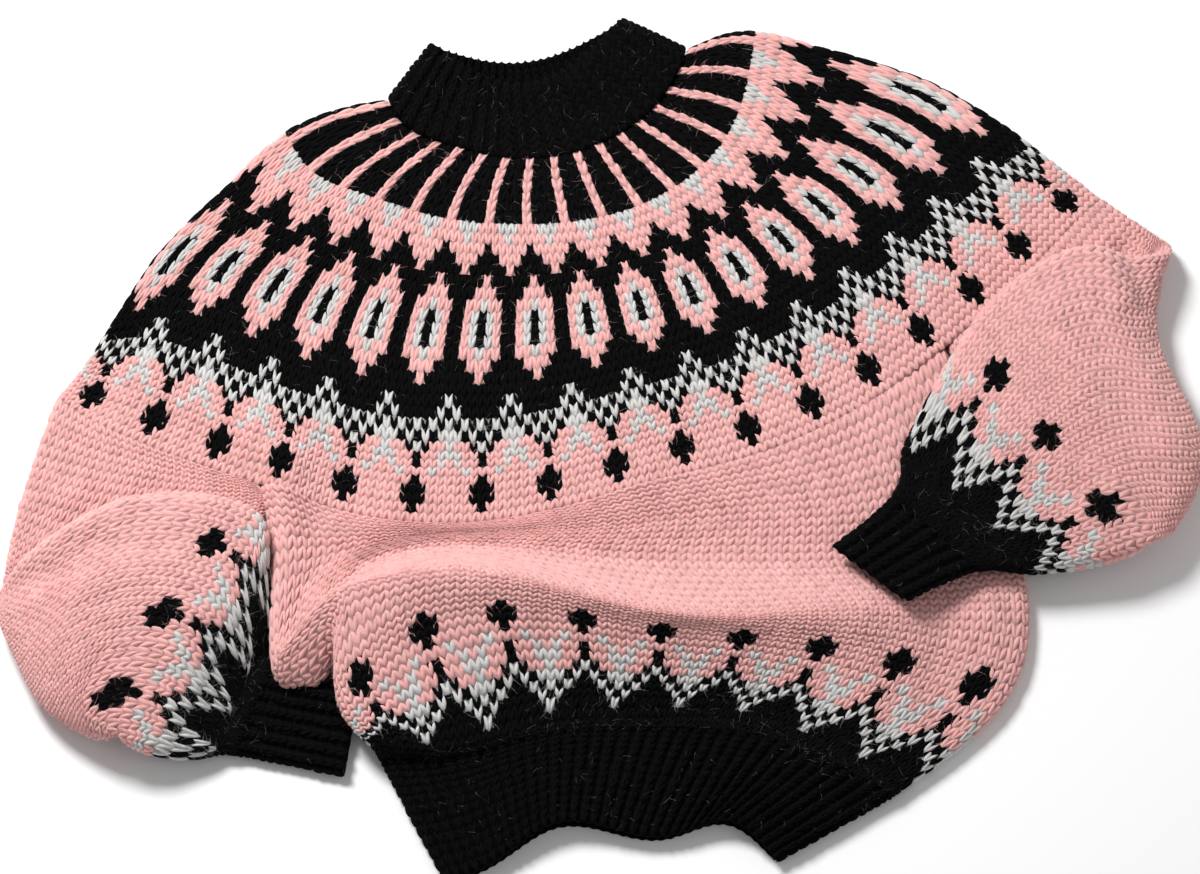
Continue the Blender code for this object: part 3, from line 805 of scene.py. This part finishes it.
def bordered_rounds(skin, border, sections, share, stitches, middle, underarm_first=False):
    """Plain rounds from the armhole or yoke down, then the mirrored border.

    The first number of stitches is that of the upper half of the plain rounds.
    """
    upper, lower = stitches
    table = np.array(border, float)
    places = table[:, 0]
    start = table[0, 1:] / sections
    length = np.mean([run_length(skin, 0, end, share) for end in start])
    plain = int(round(length / PLAIN_ROW))
    border_count = int(places[-1])
    mirrored = reversed(yoke_charts()[BORDER_FIRST_ROUND:])
    texts = [BORDER_SWAP.get(chart.text, chart.text) for chart in mirrored]
    texts += [BLACK_TEXT] * (border_count - len(texts))
    charts = [Round(upper, MOTIF, middle, PLAIN_TEXT)] * (plain // 2)
    charts += [Round(lower, MOTIF, middle, PLAIN_TEXT)] * (plain - plain // 2)
    charts += [Round(lower, MOTIF, middle, text) for text in texts]
    edges = []
    for column, end in ((1, start[0]), (2, start[1])):
        above = np.linspace(0, end, plain + 1)[:-1]
        below = np.interp(np.arange(border_count + 1), places, table[:, column] / sections)
        edges.append(np.concatenate([above, below]))
    return Rounds(charts, *edges, skin.turns, underarm_first)


def wool_index(chart, numbers):
    """Index of the wool of each stitch, counted from the middle of a motif."""
    offset = np.mod(numbers, chart.motif)
    offset = np.minimum(offset, chart.motif - offset)
    lookup = np.array([WOOLS.index(letter) for letter in chart.text])
    return lookup[offset.astype(int)]


def wool_under(rounds, station, turn):
    """Index of the wool at stations and turns of a tube."""
    wools, level = np.zeros((2, len(station)), int)
    for i in range(1, len(rounds.charts)):
        level[station > rounds.station(np.full(len(station), i), turn)] = i
    for i, chart in enumerate(rounds.charts):
        here = level == i
        per_turn = chart.stitches / rounds.turns
        wools[here] = wool_index(chart, np.round((turn[here] - chart.middle) * per_turn))
    return wools


def set_sockets(node, values):
    """Set the node's own sockets by name."""
    for name, value in values.items():
        node.inputs[name].default_value = value


def new_node(tree, kind, values):
    node = tree.nodes.new(kind)
    set_sockets(node, values)
    return node


def wool_material(name, letter, tone, knitted):
    """Brushed wool: uneven dye, fine fibres in relief, and a soft sheen."""
    material = bpy.data.materials.new(name)
    material.use_nodes = True
    tree = material.node_tree
    links = tree.links
    shader = tree.nodes["Principled BSDF"]
    # A tone below 1 darkens the colour: on the backing it is painted shade between the stitches
    colour = np.array(COLOURS[letter]) * tone
    where = tree.nodes.new("ShaderNodeTexCoord")
    dye = new_node(tree, "ShaderNodeTexNoise", DYE_NOISE)
    links.new(where.outputs["Object"], dye.inputs["Vector"])
    ramp = tree.nodes.new("ShaderNodeValToRGB")
    for end, position, shade in zip(ramp.color_ramp.elements, DYE_RAMP, DYE_TONES):
        end.position = position
        end.color = (*np.minimum(colour * shade, 1), 1)
    links.new(dye.outputs["Fac"], ramp.inputs["Fac"])
    links.new(ramp.outputs["Color"], shader.inputs["Base Color"])
    fuzz = new_node(tree, "ShaderNodeTexNoise", FUZZ_NOISE)
    links.new(where.outputs["Object"], fuzz.inputs["Vector"])
    relief = new_node(tree, "ShaderNodeBump", FUZZ_RELIEF)
    links.new(fuzz.outputs["Fac"], relief.inputs["Height"])
    links.new(relief.outputs["Normal"], shader.inputs["Normal"])
    if knitted:
        add_knit_relief(tree, relief)
    set_sockets(shader, FINISH)
    set_sockets(shader, {name: values[letter] for name, values in FINISH_OF_WOOL.items()})
    return material


def add_knit_relief(tree, fine):
    """Stitches in relief from the map of wales and rounds, where none are raised in the mesh."""
    links = tree.links
    split = tree.nodes.new("ShaderNodeSeparateXYZ")
    links.new(tree.nodes.new("ShaderNodeUVMap").outputs["UV"], split.inputs["Vector"])

    def math(operation, first, second=0):
        node = tree.nodes.new("ShaderNodeMath")
        node.operation = operation
        for socket, value in zip(node.inputs, (first, second)):
            if isinstance(value, (int, float)):
                socket.default_value = value
            else:
                links.new(value, socket)
        return node.outputs["Value"]

    across = math("ABSOLUTE", math("SUBTRACT", math("FRACT", split.outputs["X"]), 0.5))
    slant = math("MULTIPLY", across, KNIT_SLANT)
    slanted = math("FRACT", math("ADD", split.outputs["Y"], slant))
    leg = math("SINE", math("MULTIPLY", slanted, np.pi))
    side = math("SINE", math("MULTIPLY", across, 2 * np.pi))
    relief = new_node(tree, "ShaderNodeBump", KNIT_RELIEF)
    links.new(math("MULTIPLY", leg, side), relief.inputs["Height"])
    links.new(relief.outputs["Normal"], fine.inputs["Normal"])


def object_of(name, points, faces, wools, materials):
    """A mesh object of the garment that rides on the frame."""
    mesh = bpy.data.meshes.new(name)
    mesh.from_pydata((points * MM).tolist(), [], faces)
    for material in materials:
        mesh.materials.append(material)
    mesh.polygons.foreach_set("material_index", np.asarray(wools, np.int32))
    mesh.shade_smooth()
    made = bpy.data.objects.new(name, mesh)
    bpy.context.scene.collection.objects.link(made)
    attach(made, "root")
    return made


def shell_of(name, skins, rounds, columns, materials):
    """The backing cloth of a tube: outer and inner face, closed by a rim at each end.

    Where no inner skin is given, the inner face lies one backing wall under the outer one.
    """
    count = len(rounds.charts)
    turn = np.arange(columns) / columns * rounds.turns
    edges, turns = np.meshgrid(np.arange(count + 1), turn, indexing="ij")
    stations = rounds.station(edges, turns)
    cover = SEAM_COVER / run_length(skins[0], 0, 1, MID_FRONT)
    stations[0] -= cover
    stations[-1] += cover
    depth = np.full(edges.shape, -BACKING_DEPTH)
    inner_depth = depth if len(skins) > 1 else depth - BACKING_WALL
    sheets = ((skins[0], depth), (skins[-1], inner_depth))
    points = np.vstack([skin.place(stations, turns, at).reshape(-1, 3) for skin, at in sheets])
    points[:, 2] = np.maximum(points[:, 2], LOWEST)
    inside = (count + 1) * columns
    following = (np.arange(columns) + 1) % columns
    step = rounds.turns / columns
    faces, wools, map_points = [], [], []
    for i, chart in enumerate(rounds.charts):
        per_turn = chart.stitches / rounds.turns
        shades = wool_index(chart, np.round((turn + step / 2 - chart.middle) * per_turn))
        upper, lower = i * columns, (i + 1) * columns
        for j, k in enumerate(following):
            face = (upper + j, lower + j, lower + k, upper + k)
            faces += [face, tuple(inside + n for n in face[::-1])]
            wools += [shades[j]] * 2
            left, right = turn[j] * per_turn, (turn[j] + step) * per_turn
            corners = [(left, -i), (left, -i - 1), (right, -i - 1), (right, -i)]
            map_points += corners + corners[::-1]
    for i, flip, shade in ((0, True, wools[0]), (count, False, wools[-1])):
        rim = i * columns
        for j, k in enumerate(following):
            face = (rim + j, inside + rim + j, inside + rim + k, rim + k)
            faces.append(face[::-1] if flip else face)
            wools.append(shade)
            map_points += [(0, 0)] * 4
    made = object_of(name, points, faces, wools, materials)
    layer = made.data.uv_layers.new(name="wales")
    layer.data.foreach_set("uv", np.array(map_points, np.float32).ravel())
    return made


def stitch_template():
    """Points of one V as (wales across, rounds up, share of height), and its faces."""
    points, faces = [], []
    foot, tip = np.array(LEG_FOOT), np.array(LEG_TIP)
    for side in (-1, 1):
        start = len(points)
        points.append((side * foot[0], foot[1], LEG_FOOT_HEIGHT))
        for share, half_width, height in LEG_STATIONS:
            centre = foot + share * (tip - foot)
            for across, lift in LEG_ACROSS:
                points.append((side * (centre[0] + across * half_width), centre[1], lift * height))
        points.append((side * tip[0], tip[1], 0.0))
        last = len(points) - 1
        width = len(LEG_ACROSS)
        made = []
        for i in range(width - 1):
            made.append((start, start + 1 + i, start + 2 + i))
            top = last - width
            made.append((last, top + i + 1, top + i))
        for ring in range(len(LEG_STATIONS) - 1):
            low = start + 1 + ring * width
            for i in range(width - 1):
                made.append((low + i + 1, low + i, low + width + i, low + width + i + 1))
        faces += [face if side > 0 else face[::-1] for face in made]
    return np.array(points), faces


def stitches_of(name, skin, rounds, materials, draws, wale_width=1.0):
    """Raised stitches over the part of a skin that shows."""
    template, template_faces = stitch_template()
    rows = []
    for i, chart in enumerate(rounds.charts):
        per_turn = chart.stitches / rounds.turns
        numbers = np.arange(chart.stitches)
        each = np.ones(chart.stitches)
        turns = np.mod(chart.middle + numbers / per_turn, rounds.turns)
        rows.append((turns, per_turn * each, i * each, wool_index(chart, numbers)))
    columns = [np.concatenate(column) for column in zip(*rows)]
    station = rounds.station(columns[2] + 0.5, columns[0])
    normals = unit(skin.sample(station, columns[0], skin.normals))
    shown = normals[:, 2] > LEAST_UP_STITCHES
    middles, counts, levels, wools = (column[shown] for column in columns)
    size = draws.normal(1.0, STITCH_SIZE_SPREAD, (len(middles), 1))
    shift = draws.normal(0, STITCH_SHIFT_SPREAD, (len(middles), 2))
    rise = draws.normal(1.0, STITCH_RISE_SPREAD, (len(middles), 1))
    across = (template[:, 0] * size * wale_width + shift[:, :1]) / counts[:, None]
    up = template[:, 1] * size + shift[:, 1:]
    root = BACKING_DEPTH + STITCH_ROOT
    height = (root + STITCH_TOP) * template[:, 2] * rise - root
    turn = middles[:, None] + across
    level = levels[:, None] + 0.5 - up
    points = skin.place(rounds.station(level, turn), turn, height).reshape(-1, 3)
    points[:, 2] = np.maximum(points[:, 2], LOWEST)
    faces = []
    for base in range(0, len(points), len(template)):
        faces += [tuple(base + n for n in face) for face in template_faces]
    shades = np.repeat(wools, len(template_faces))
    return object_of(name, points, faces, shades, materials)


def fibres_of(name, skin, rounds, count, materials, draws):
    """Loose fibres as thin curved ribbons that lie over the stitches.

    The materials are in the order of WOOLS, and the last one is that of the pale fibres.
    """
    station = draws.uniform(0, 1, count * FIBRE_SPARE)
    turn = draws.uniform(0, skin.turns, count * FIBRE_SPARE)
    normals = unit(skin.sample(station, turn, skin.normals))
    shown = normals[:, 2] > LEAST_UP_FIBRES
    station, turn, normals = station[shown][:count], turn[shown][:count], normals[shown][:count]
    count = len(station)
    root = skin.place(station, turn, np.zeros(count))
    heading = draws.normal(size=(count, 3))
    heading = unit(heading - (heading * normals).sum(axis=1, keepdims=True) * normals)
    side = np.cross(normals, heading)
    length = draws.uniform(*FIBRE_LENGTH, (count, 1))
    lift = draws.uniform(*FIBRE_LIFT, (count, 1))
    curl = draws.normal(0, FIBRE_CURL_SPREAD, (count, 1))
    pale = draws.random(count) < PALE_SHARE
    width = np.where(pale, FIBRE_WIDTH["pale"], FIBRE_WIDTH["wool"])[:, None]
    points = []
    for share in np.linspace(0, 1, FIBRE_STEPS + 1):
        centre = root + heading * length * share + side * length * curl * share**2
        centre = centre + normals * lift * np.sin(np.pi * FIBRE_ARCH * share)
        half = width / 2 * (1 - FIBRE_TAPER * share)
        points += [centre - side * half, centre + side * half]
    points = np.stack(points, axis=1).reshape(-1, 3)
    points[:, 2] = np.maximum(points[:, 2], LOWEST)
    rungs = range(FIBRE_STEPS)
    starts = [2 * (i * (FIBRE_STEPS + 1) + rung) for i in range(count) for rung in rungs]
    faces = [(start, start + 1, start + 3, start + 2) for start in starts]
    wools = wool_under(rounds, station, turn)
    wools = np.repeat(np.where(pale, len(WOOLS), wools), FIBRE_STEPS)
    return object_of(name, points, faces, wools, materials)


def stage_floor():
    mesh = bpy.data.meshes.new("floor")
    corners = [(x * FLOOR_HALF, y * FLOOR_HALF, 0) for x, y in ((-1, -1), (1, -1), (1, 1), (-1, 1))]
    mesh.from_pydata(corners, [], [(0, 1, 2, 3)])
    floor = bpy.data.objects.new("floor", mesh)
    material = bpy.data.materials.new("floor_paper")
    material.use_nodes = True
    set_sockets(material.node_tree.nodes["Principled BSDF"], FLOOR_FINISH)
    mesh.materials.append(material)
    bpy.context.scene.collection.objects.link(floor)
    floor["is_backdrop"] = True


def add_light(name, place, size, power):
    """A round soft light that shines on the origin."""
    light = bpy.data.lights.new(name, "AREA")
    light.shape = "DISK"
    light.size = size
    light.energy = power
    made = bpy.data.objects.new(name, light)
    bpy.context.scene.collection.objects.link(made)
    made.location = place
    point_at(made, (0, 0, 0))


def point_at(thing, target):
    away = Vector(target) - thing.location
    thing.rotation_euler = away.to_track_quat("-Z", "Y").to_euler()


def add_camera():
    data = bpy.data.cameras.new("camera")
    data.sensor_width = SENSOR_MM
    data.lens = SENSOR_MM * DISTANCE / (IMAGE_WIDTH_PX / PX_PER_M)
    camera = bpy.data.objects.new("camera", data)
    bpy.context.scene.collection.objects.link(camera)
    back_off = np.array((0, -np.cos(ELEVATION), np.sin(ELEVATION))) * DISTANCE
    camera.location = tuple(np.array(AIM) + back_off)
    point_at(camera, AIM)
    bpy.context.scene.camera = camera


def add_studio():
    stage_floor()
    world = bpy.data.worlds.new("studio")
    world.use_nodes = True
    set_sockets(world.node_tree.nodes["Background"], SKY)
    bpy.context.scene.world = world
    for light in LIGHTS:
        add_light(*light)


def make_wool():
    """The materials of stitches, backing and fibres, in the order of WOOLS; the backing is painted
    darker as shade between the stitches.
    """
    raised = [wool_material("wool_" + letter, letter, 1.0, False) for letter in WOOLS]
    ground = [wool_material("ground_" + letter, letter, BACKING_SHADE_TONES[letter], True) for letter in WOOLS]
    fibres = [wool_material("fibre_" + letter, letter, FIBRE_TONES[letter], False) for letter in WOOLS]
    fibres.append(wool_material("fibre_pale", "W", PALE_TONE, False))
    return Wool(raised, ground, fibres)


def dress(node, skins, rounds, columns, wool, draws, wale_width=1.0):
    """Backing cloth, stitches and fibres in place of one node.

    The skins are the outer one and, where it is dressed too, the inner one.
    """
    width, length, area, under, fibres = PIECES[node]
    # The backing takes the darker wools, painted shade between the stitches
    shell = shell_of(node + "_shell", skins, rounds, columns, wool.ground)
    on_it = [
        stitches_of(node + ending, skin, rounds, wool.raised, draws, wale_width)
        for ending, skin in zip(("_stitches", "_lining_stitches"), skins)
    ]
    on_it.append(fibres_of(node + "_fibres", skins[0], rounds, fibres, wool.fibres, draws))
    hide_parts(node)


def dress_rib(node, skins, ribs, wool, draws):
    """A rib piece: one wale of stitches on each ridge."""
    length = run_length(skins[0], 0, 1, MID_FRONT)
    count = max(int(round(length / RIB_ROW)), FEWEST_RIB_ROUNDS)
    edges = np.linspace(0, 1, count + 1)
    rounds = Rounds([Round(ribs, 1, 0.0, "B")] * count, edges, edges, ribs)
    dress(node, skins, rounds, RIB_COLUMNS * ribs, wool, draws, RIB_WALE_WIDTH)


def dress_yoke(wool, draws):
    turns = 2 * FRONT_REPEATS
    repeats = np.linspace(0, FRONT_REPEATS, ACROSS)
    skin, _ = skins_of("yoke", *yoke_faces(PLACES, repeats), turns)
    charts = yoke_charts()
    edges = np.interp(np.arange(len(charts) + 1), *YOKE_ROUNDS)
    rounds = Rounds(charts, edges, edges, turns)
    dress("yoke", [skin], rounds, MOTIF * turns, wool, draws)


def dress_body(wool, draws):
    sections = len(BODY_SECTIONS)
    skin, _ = skins_of("body", *body_faces(BODY_SECTIONS, 0, sections), BODY_TURNS)
    columns = MOTIF * BODY_TURNS
    counts = (columns, columns)
    rounds = bordered_rounds(skin, BODY_BORDER, sections, MID_FRONT, counts, BODY_BORDER_MIDDLE)
    dress("body", [skin], rounds, columns, wool, draws)


def dress_sleeve(side, rows, repeats, border, middle, wool, draws):
    """A sleeve down to the section before its last, and its cuff from there."""
    rib = len(rows) - 1
    node = side + "_sleeve"
    faces = sleeve_faces(rows, repeats, 0, rib)
    skin, _ = skins_of(node, *faces, SLEEVE_TURNS, turned_over=True)
    counts = (SLEEVE_STITCHES, CUFF_STITCHES)
    rounds = bordered_rounds(skin, border, rib, MID_BACK, counts, middle, side == "right")
    dress(node, [skin], rounds, SLEEVE_STITCHES, wool, draws)
    node = side + "_cuff"
    faces = sleeve_faces(rows, repeats, rib, rib + 1)
    skin, _ = skins_of(node, *faces, CUFF_RIBS, turned_over=True, ribs=True)
    dress_rib(node, [skin], CUFF_RIBS, wool, draws)


def dress_hem(wool, draws):
    rows = dict(BODY_SECTIONS, hem=HEM_EDGE)
    faces = body_faces(rows, len(rows) - 1, len(rows))
    skin, _ = skins_of("hem_rib", *faces, HEM_RIBS, ribs=True)
    dress_rib("hem_rib", [skin], HEM_RIBS, wool, draws)


def dress_collar(wool, draws):
    """The neck rib, which thins towards its top edge."""
    rim = np.interp(PLACES, (COLLAR_RIM_START, 1.0), (0, 1))
    thinned = rim * (COLLAR_WALL - COLLAR_RIM_WALL)
    front, back = collar_faces()
    front[..., 2] -= thinned[:, None]
    back[..., 2] += thinned[:, None]
    skins = skins_of("collar", front, back, COLLAR_RIBS, COLLAR_WALL - thinned, ribs=True)
    dress_rib("collar", skins, COLLAR_RIBS, wool, draws)


def main():
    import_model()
    cad_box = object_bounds()
    bpy.context.scene.view_settings.view_transform = "Standard"
    add_camera()
    add_studio()
    draws = np.random.default_rng(SEED)
    wool = make_wool()
    dress_yoke(wool, draws)
    dress_body(wool, draws)
    for side, sleeve in SLEEVES.items():
        dress_sleeve(side, *sleeve, wool, draws)
    dress_hem(wool, draws)
    dress_collar(wool, draws)

    sizes = {"cad": cad_box, "visual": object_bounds()}
    sizes = {key: np.asarray(value, float).tolist() for key, value in sizes.items()}


main()
